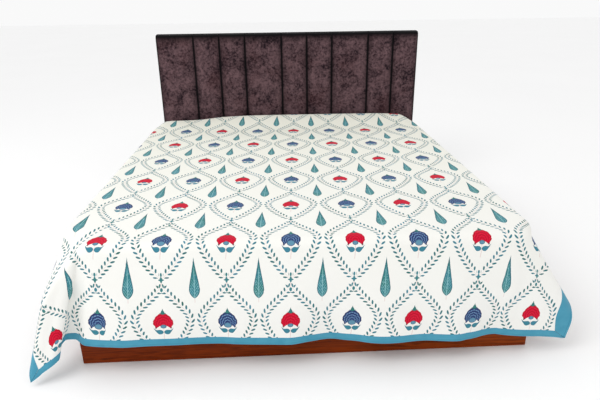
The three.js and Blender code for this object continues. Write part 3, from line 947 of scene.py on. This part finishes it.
def paint_petals(look, x, y, red):
    """The cap of scalloped petals in tiers, with the fan-shaped calyx under it."""
    side = abs(x)
    up = y - CAP_MIDDLE_Y
    distance = length_of(x, up)
    angle = side.maths("ARCTAN2", up) * (180 / math.pi)
    scallops = abs((angle * (math.pi / 24)).sine()) * 0.16
    reach = angle.curve(CAP_OUTLINE, 0, 180, 5.0) + scallops - 0.1
    sweep = (side - 0.9).most(0.0) / 1.7
    under = sweep**1.4 * -1.2 - 2.12
    cap = (distance - reach).most(under - y)
    look.paint(cap.inside(), look.blend(red, BLUE, CRIMSON))

    tier = distance / reach * 4.4 + abs((angle * (math.pi / 30)).sine()) * 0.3
    ring = tier.fraction()
    petal = abs((angle / 15.0 + (tier - ring) * 0.5).fraction() - 0.5)
    within = (cap + 0.08).inside(0.08)
    dark_line = ring.band(0.2, 0.2, 0.08).most((petal * -1.0 + 0.44).inside(0.06) * 0.8)
    look.paint(dark_line * within * (red * -0.3 + 0.95), look.blend(red, NAVY, CRIMSON_DARK))
    pale_line = ring.band(0.68, 0.14, 0.1) * (petal - 0.38).inside(0.1)
    look.paint(pale_line * within * (red * -0.45 + 0.85), look.blend(red, BLUE_LIGHT, CRIMSON_LIGHT))
    rim = cap.band(-0.1, 0.12, 0.08)
    look.paint(rim * (red * -0.45 + 0.9), look.blend(red, NAVY, CRIMSON_DARK))
    fan = ellipse(x, y, (0, -2.45), (1.5, 1.15)) + red * 0.34
    fan_line = abs((side.maths("ARCTAN2", y + 3.9) * 4.2).fraction() - 0.5) - 0.12
    look.paint(fan.inside(), look.blend(fan_line.inside(0.1) * 0.6, CALYX, BLUE_LIGHT))
    look.paint(fan.band(-0.1, 0.1, 0.07) * 0.75, look.blend(red, NAVY, TEAL_DEEP))
    tips = ellipse(side, y, (2.62, -3.0), (0.3, 0.42), 20)
    look.paint(tips.inside() * 0.9, look.blend(red, NAVY, CRIMSON_TIP))


def paint_bud(look, x, y):
    side = abs(x)
    low, high = BUD[0][0], BUD[-1][0]
    bud = (side - y.curve(BUD, low, high, 1.0)).most(abs(y - (low + high) / 2) - (high - low) / 2)
    leaflet = ellipse(side, y, (0.75, 3.15), (0.45, 0.2), 25)
    look.paint(bud.least(leaflet).inside(), TEAL_GREEN)
    look.paint(bud.band(-0.1, 0.08, 0.06) * bud.inside() * 0.5, TEAL_DEEP)


def weave_height(look, place):
    """Slubs of warp and weft, finer than the print."""
    warp = look.noise(look.stretched(place, (2.6, 0.22, 1)), 1.6, 2.0, 0.55)
    weft = look.noise(look.stretched(place, (0.22, 2.6, 1)), 1.6, 2.0, 0.55)
    return warp + weft


CYPRESS_COLUMNS = 4.25  # no cypress is printed further than this many columns from the middle
WARM_START = -190.0  # the ground turns warmer from here towards the head
WARM_LENGTH = 200.0


def printed_cotton():
    look = Look("printed_cotton", roughness=0.85, sheen=0.05)
    u, v, place = look.uv("cloth")
    wobble = look.noise(place, 1.3, 2.0) - 0.5
    x_all = (u + wobble * 0.22) / TILE_X
    y_all = (v - wobble * 0.18) / TILE_Y
    column, row = x_all.rounded(), y_all.rounded()
    x = (x_all - column) * TILE_X
    y = (y_all - row) * TILE_Y
    corner_x = (x_all.fraction() - 0.5) * TILE_X
    junction_y = (y_all.fraction() - 0.5) * TILE_Y
    parity = ((column - row) / 2.0).fraction()
    red = (parity - 0.25).inside(0.01)
    tint = ((look.noise(place, 0.16, 2.0) - 0.5) * 2.4 + 0.5).clamped()
    dots = look.node("ShaderNodeTexVoronoi", feature="F1")
    dots.inputs["Scale"].default_value = 1.7
    look.link(place, dots.inputs["Vector"])
    dots = Term(look.tree, dots.outputs["Distance"])

    towards_head = ((v - WARM_START) / WARM_LENGTH).clamped()
    look.painted = look.blend(towards_head, colour(238, 238, 235), colour(236, 236, 223))
    look.paint(look.noise(place, 0.05, 2.0) * 0.4, colour(232, 230, 221))
    cloth = look.painted
    paint_vine(look, x, y, junction_y, tint)
    paint_junction(look, x, junction_y, tint)
    printed = (abs(x_all) - CYPRESS_COLUMNS).inside(0.01)
    paint_cypress(look, corner_x, junction_y, printed, dots, tint)
    paint_flower_leaves(look, x, y, tint)
    paint_petals(look, x, y, red)
    paint_bud(look, x, y)

    ink = look.noise(place, 2.4, 3.0, 0.65)
    worn = ((ink - 0.64) * 1.8).clamped()
    look.painted = look.blend(worn, look.painted, cloth)
    threads = weave_height(look, place)
    look.rough(threads * 0.12 + 0.74)
    look.raised(threads, 0.00016, 0.8)
    return look.finished()


STITCH = 0.34  # length of a hem stitch, in the cloth's centimetres


def teal_cotton():
    look = Look("teal_cotton", roughness=0.82, sheen=0.12)
    _, _, place = look.uv("cloth")
    along, from_hem, _ = look.uv("strip")
    streaks = look.noise(look.stretched(place, (0.35, 0.35, 1)), 0.6, 3.0)
    look.painted = look.blend(streaks, colour(54, 132, 160), colour(84, 160, 184))
    stitch_gap = (along / STITCH).fraction().band(0.5, 0.3, 0.1)
    stitches = from_hem.band(HEM_WIDTH / 10, 0.05, 0.05) * stitch_gap
    look.paint(stitches * 0.8, colour(44, 112, 136))
    threads = weave_height(look, place)
    crease = from_hem.band(HEM_WIDTH / 10, 0.08, 0.12)
    # Painted shade along the hem's crease.
    look.paint(crease * 0.25, colour(40, 102, 128))
    # Painted shade along the mitred seams at the strips' ends.
    mitre = ((look.attribute("mitred") - 0.72) * 4.0).clamped()
    look.paint(mitre * 0.75, colour(20, 66, 84))
    look.rough(threads * 0.12 + 0.72)
    look.raised(threads - crease * 1.4 - mitre, 0.00022, 0.9)
    return look.finished()


def upholstery():
    """Mottled brown velour, with near-black painted shade in the seams, over the top and on the back
    board.
    """
    look = Look("upholstery", roughness=0.9, sheen=0.06, specular=0.08)
    place, _ = look.object_place()
    patches = look.noise(place, 9.0, 6.0, 0.68, 0.4)
    specks = look.noise(place, 60.0, 5.0, 0.8)
    spread = (patches - 0.5) * 2.4 + (specks - 0.5) * 3.4 + 0.55
    share = spread.clamped()
    look.painted = look.blend(share, colour(24, 12, 20), colour(104, 80, 84))
    reddish = (look.noise(place, 5.0, 3.0) - 0.5) * 1.2
    look.paint(reddish.clamped(), colour(66, 30, 30))
    # Painted shade: near-black in the seams, over the top and on the back board.
    look.paint(look.attribute("painted_shade"), colour(3, 1, 4))
    look.rough(specks * 0.25 + 0.68)
    look.raised(specks + patches * 2.0, 0.0012, 0.7)
    return look.finished()


STRIPE = 0.024  # step between the stripes of the ticking, in metres


def ticking():
    look = Look("ticking", roughness=0.9, sheen=0.1)
    place, (x, y, _) = look.object_place()
    look.painted = look.blend(look.noise(place, 4.0, 3.0), colour(226, 222, 210), colour(240, 237, 228))
    stripes = ((x + y) / STRIPE).fraction().band(0.5, 0.09, 0.06)
    look.paint(stripes * 0.4, colour(176, 186, 196))
    look.paint(look.attribute("piping"), colour(206, 200, 186))
    threads = look.noise(look.stretched(place, (1, 1, 9)), 160.0, 2.0)
    look.rough(threads * 0.15 + 0.78)
    look.raised(threads, 0.0005, 0.8)
    return look.finished()


def wood(name, across, dark, light, rough_low):
    """Reddish brown boards. across gives the share of each axis that crosses the grain."""
    look = Look(name, roughness=0.45, specular=0.1)
    place, (x, _, _) = look.object_place()
    grain_place = look.stretched(place, across)
    figure = look.noise(grain_place, 2.2, 5.0, 0.6, 1.2)
    fibres = look.noise(look.stretched(place, tuple(3 * value for value in across)), 9.0, 4.0, 0.7)
    band = abs((figure * 9.0).fraction() - 0.5) * 2.0
    share = (band * 0.45 + fibres * 0.75 - 0.15).clamped()
    look.painted = look.blend(share, dark, light)
    # Painted light: lighter and more orange towards the right end of the boards.
    lit_towards_right = ((x + 0.1) / 0.9).clamped()
    look.paint(lit_towards_right * 0.5 * share, colour(178, 84, 22))
    pores = (fibres - 0.36).inside(0.06)
    look.paint(pores * 0.6, colour(30, 8, 0))
    look.rough(fibres * 0.3 + rough_low)
    look.raised(fibres + band * 0.3, 0.0006, 0.6)
    return look.finished()


def pale_floor():
    look = Look("pale_floor", roughness=0.9)
    place, _ = look.object_place()
    look.painted = look.blend(look.noise(place, 0.7, 2.0), colour(249, 249, 249), colour(252, 252, 252))
    return look.finished()


# ---- Camera and studio ----

CAMERA_PLACE = Vector((-76.1, -2691.1, 1353.7))
CAMERA_YAW = math.radians(2.64)
CAMERA_PITCH = math.radians(21.29)
CAMERA_ROLL = math.radians(-0.76)
CAMERA_LENS = 31.2


def add_camera():
    camera = bpy.data.cameras.new("camera")
    camera.lens = CAMERA_LENS
    camera.sensor_width = 36
    camera.clip_end = 200
    holder = bpy.data.objects.new("camera", camera)
    bpy.context.collection.objects.link(holder)
    ahead = Vector((
        math.sin(CAMERA_YAW) * math.cos(CAMERA_PITCH),
        math.cos(CAMERA_YAW) * math.cos(CAMERA_PITCH),
        -math.sin(CAMERA_PITCH),
    ))
    right = Vector((math.cos(CAMERA_YAW), -math.sin(CAMERA_YAW), 0))
    above = right.cross(ahead)
    turn = Matrix.Rotation(-CAMERA_ROLL, 3, ahead)
    right, above = turn @ right, turn @ above
    rows = Matrix((right, above, -ahead)).transposed()
    place = CAMERA_PLACE * MM + Vector((BED_MIDDLE.x, BED_MIDDLE.y, 0))
    holder.matrix_world = Matrix.Translation(place) @ rows.to_4x4()
    bpy.context.scene.camera = holder


KEY_PLACE = (-2.8, -2.6, 4.2)
KEY_TARGET = (0, -0.3, 0.4)
KEY_SIZE = 2.6
KEY_POWER = 72
SURROUND = 0.95
FLOOR_HALF = 30


def add_light(name, place, target, size, power):
    lamp = bpy.data.lights.new(name, "AREA")
    lamp.size = size
    lamp.energy = power
    holder = bpy.data.objects.new(name, lamp)
    holder.location = place
    holder.rotation_euler = (Vector(target) - Vector(place)).to_track_quat("-Z", "Y").to_euler()
    bpy.context.collection.objects.link(holder)


def add_studio():
    """A pale floor, an even white surround and one large soft lamp."""
    corners = [(-1, -1), (1, -1), (1, 1), (-1, 1)]
    mesh = bpy.data.meshes.new("floor")
    mesh.from_pydata([(x * FLOOR_HALF, y * FLOOR_HALF, 0) for x, y in corners], [], [(0, 1, 2, 3)])
    mesh.materials.append(pale_floor())
    floor = bpy.data.objects.new("floor", mesh)
    bpy.context.collection.objects.link(floor)
    world = bpy.data.worlds.new("surround")
    world.use_nodes = True
    background = world.node_tree.nodes["Background"]
    background.inputs["Color"].default_value = (1, 1, 1, 1)
    background.inputs["Strength"].default_value = SURROUND
    bpy.context.scene.world = world
    add_light("key", KEY_PLACE, KEY_TARGET, KEY_SIZE, KEY_POWER)
    bpy.context.scene.view_settings.view_transform = "Standard"
    bpy.context.scene.view_settings.look = "None"


# ---- Pieces ----


def make_sheet():
    printed, teal = printed_cotton(), teal_cotton()
    panel_u, panel_v = panel_net()
    panel = cloth_piece("sheet_panel", panel_u, panel_v, PANEL_HALF, PANEL_HALF, printed)
    twice_u, twice_v = np.tile(panel_u.ravel(), 2), np.tile(panel_v.ravel(), 2)
    add_map(
        panel,
        "OFBake",
        (twice_u + PANEL_SIDE) / (2 * PANEL_SIDE),
        (twice_v - PANEL_FOOT) / (PANEL_HEAD - PANEL_FOOT),
    )
    nets = {
        "border_foot": end_strip_net(panel_u, -1),
        "border_head": end_strip_net(panel_u, 1),
        "border_left": side_strip_net(panel_v, -1),
        "border_right": side_strip_net(panel_v, 1),
    }
    for name, (u, v, from_hem) in nets.items():
        at_end = name in ("border_foot", "border_head")
        width = from_hem.max()
        puff = STRIP_PUFF * np.sin(np.pi * np.clip(from_hem / width, 0, 1))
        hem = np.where(from_hem < HEM_WIDTH + 0.01, HEM_HALF, STRIP_HALF)
        strip = cloth_piece(name, u, v, hem + puff, hem, teal)
        along = (u if at_end else v).ravel()
        add_map(strip, "strip", np.tile(along, 2) / 10, np.tile(from_hem.ravel(), 2) / 10)
        mitred = np.zeros(u.shape)
        if at_end:
            mitred[:, [0, -1]] = 1
        else:
            mitred[[0, -1]] = 1
        add_values(strip, "mitred", np.tile(mitred.ravel(), 2))


PIPE = 4  # radius of the mattress's piping
PIPE_LIFT = 24  # how high the lower piping lies on the mattress
BOTTOM_ROUND = 12
SIDE_PULL = 2.5
CORNER_LINES = 20


def pipe_profile(plan, middle):
    turns = np.linspace(0, math.pi, 7)
    return [(plan + 0.7 * PIPE * math.sin(t), middle - PIPE * math.cos(t), 1) for t in turns]


def mattress_profile(plan, edge):
    """(reach, height, is piping) from the bottom of the mattress to the rim of its flat top."""
    lower_pipe = MATTRESS_BOTTOM + PIPE_LIFT
    upper_pipe = MATTRESS_TOP - edge - 2 * PIPE
    profile = []
    for turn in np.linspace(0, math.pi / 2, 5):
        lift = BOTTOM_ROUND * (1 - math.cos(turn))
        profile.append((plan - BOTTOM_ROUND * (1 - math.sin(turn)), MATTRESS_BOTTOM + lift, 0))
    profile += pipe_profile(plan, lower_pipe)
    for share in np.linspace(0.08, 0.92, 8):
        height = lower_pipe + PIPE + (upper_pipe - lower_pipe - 2 * PIPE) * share
        profile.append((plan - SIDE_PULL * math.sin(math.pi * share), height, 0))
    profile += pipe_profile(plan, upper_pipe)
    for turn in np.linspace(math.pi / 2, 0, 9):
        reach = plan - edge + edge * math.sin(turn)
        profile.append((reach, MATTRESS_TOP - edge * (1 - math.cos(turn)), 0))
    return profile


def make_mattress():
    stations = []
    for side_x, side_y, plan, softness in MATTRESS_CORNERS:
        centre_x = side_x * (MATTRESS_WIDTH / 2 - plan)
        centre_y = side_y * (MATTRESS_LENGTH / 2 - plan)
        for i in range(CORNER_LINES + 1):
            turn = i / CORNER_LINES * math.pi / 2
            share = math.pi / 2 - turn if side_x * side_y > 0 else turn
            edge = MATTRESS_EDGE + (softness - MATTRESS_EDGE) * math.sin(2 * turn) ** 2
            out = (side_x * math.sin(share), side_y * math.cos(share))
            stations.append([
                (centre_x + out[0] * reach, centre_y + out[1] * reach, height, piping)
                for reach, height, piping in mattress_profile(plan, edge)
            ])
    rings = np.array(stations).transpose(1, 0, 2)
    mattress = lofted("mattress_cover", rings[..., :3], ticking(), 60)
    piping = np.append(rings[..., 3].ravel(), [0, 0]).astype(np.float32)
    add_values(mattress, "piping", piping)
    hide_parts("mattress")


PAD_CROWN = 14
PAD_TOP_ROUND = 24
PAD_ACROSS = 32
PAD_LEVELS = 44
PAD_SEED = 11
REAR_DARK = 0.45  # how much of the painted shade the headboard's rear has
BACK_BEVEL = 7
WOOD_BEVEL = 3


def pad_ripples(chance):
    """Small dents of a stuffed pad, as a sum of slow waves."""
    waves = [
        (chance.uniform(0.008, 0.03), chance.uniform(0.006, 0.022), chance.uniform(0, 6.3))
        for _ in range(6)
    ]
    return lambda x, z: sum(np.sin(a * x + b * z + c) for a, b, c in waves) * 0.45


def make_pads(cloth):
    """Nine crowned pads, each drawn in along its seams and over its top edge, with painted shade there.
    """
    chance = np.random.default_rng(PAD_SEED)
    for number in range(1, 10):
        node = f"headboard_pad_{number}"
        low, high = in_bed_millimetres(node)
        middle_x, half_x = (low.x + high.x) / 2, (high.x - low.x) / 2
        seam_y = low.y + PAD_CROWN
        across = np.sin(np.linspace(-math.pi / 2, math.pi / 2, PAD_ACROSS + 1))
        ripple = pad_ripples(chance)
        crown = PAD_CROWN * (1 - np.abs(across) ** 3.0) ** 0.62
        straight = np.linspace(low.z, high.z - PAD_TOP_ROUND, PAD_LEVELS)
        turns = np.linspace(0, math.pi / 2, 9)[1:]
        levels = [(z, 0.0) for z in straight]
        levels += [(high.z - PAD_TOP_ROUND * (1 - math.sin(a)), a) for a in turns]
        rings, painted_shade_amounts = [], []
        for z, turn in levels:
            back = PAD_TOP_ROUND * (1 - math.cos(turn))
            front = seam_y + back * 0.9 - crown * math.cos(turn) ** 0.5
            dents = ripple(middle_x + half_x * across, z) * (1 - np.abs(across) ** 4)
            front = np.maximum(front + np.maximum(dents, 0), low.y)
            edge_x = half_x - 0.1 * back
            ring = [(middle_x + edge_x * t, y, z) for t, y in zip(across, front)]
            depth = np.linspace(0, 1, 4)[1:]
            deep = [front[-1] + (high.y - front[-1]) * d for d in depth]
            ring += [(middle_x + edge_x, y, z) for y in deep]
            ring += [(middle_x - edge_x, y, z) for y in reversed(deep)]
            rings.append(ring)
            # Painted shade: near-black at the seams, fading over the crown beside them, and over the
            # top edge.
            from_seam = half_x * (1 - np.abs(across))
            seam = np.clip(1.3 - from_seam / 11, 0, 1)
            beside = 0.6 * np.clip(1 - from_seam / 42, 0, 1) ** 1.6
            top = np.clip(1.25 - (high.z - z) / 48, 0, 1)
            painted_shade_amounts += list(np.maximum(np.maximum(seam, beside), top)) + [1.0] * 6
        pad = lofted(f"pad_{number}", rings, cloth, 70)
        add_values(pad, "painted_shade", np.array([*painted_shade_amounts, 1.0, 1.0], np.float32))
        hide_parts(node)


def make_headboard():
    cloth = upholstery()
    make_pads(cloth)
    back = board("headboard_board", "headboard_back", BACK_BEVEL, cloth)
    rear = max(vertex.co.y for vertex in back.data.vertices)
    # Painted shade: the back board is near-black all over, less so on its rear.
    painted_shade_amounts = [REAR_DARK if vertex.co.y > rear - MM / 2 else 1.0 for vertex in back.data.vertices]
    add_values(back, "painted_shade", painted_shade_amounts)


def make_base():
    dark, light = colour(78, 22, 0), colour(142, 54, 4)
    along_x = wood("wood_along_x", (0.35, 6, 6), dark, light, 0.3)
    along_y = wood("wood_along_y", (6, 0.35, 6), dark, light, 0.3)
    for node, look in (
        ("base_foot_panel", along_x),
        ("base_head_panel", along_x),
        ("base_left_panel", along_y),
        ("base_right_panel", along_y),
    ):
        board(node, node.replace("base", "board"), WOOD_BEVEL, look)
    deck = wood("deck_board", (5, 0.5, 5), colour(150, 116, 74), colour(196, 164, 116), 0.6)
    for material_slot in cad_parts["base_deck"].material_slots:
        material_slot.material = deck


add_camera()
add_studio()
make_sheet()
make_mattress()
make_headboard()
make_base()

bpy.context.view_layer.update()
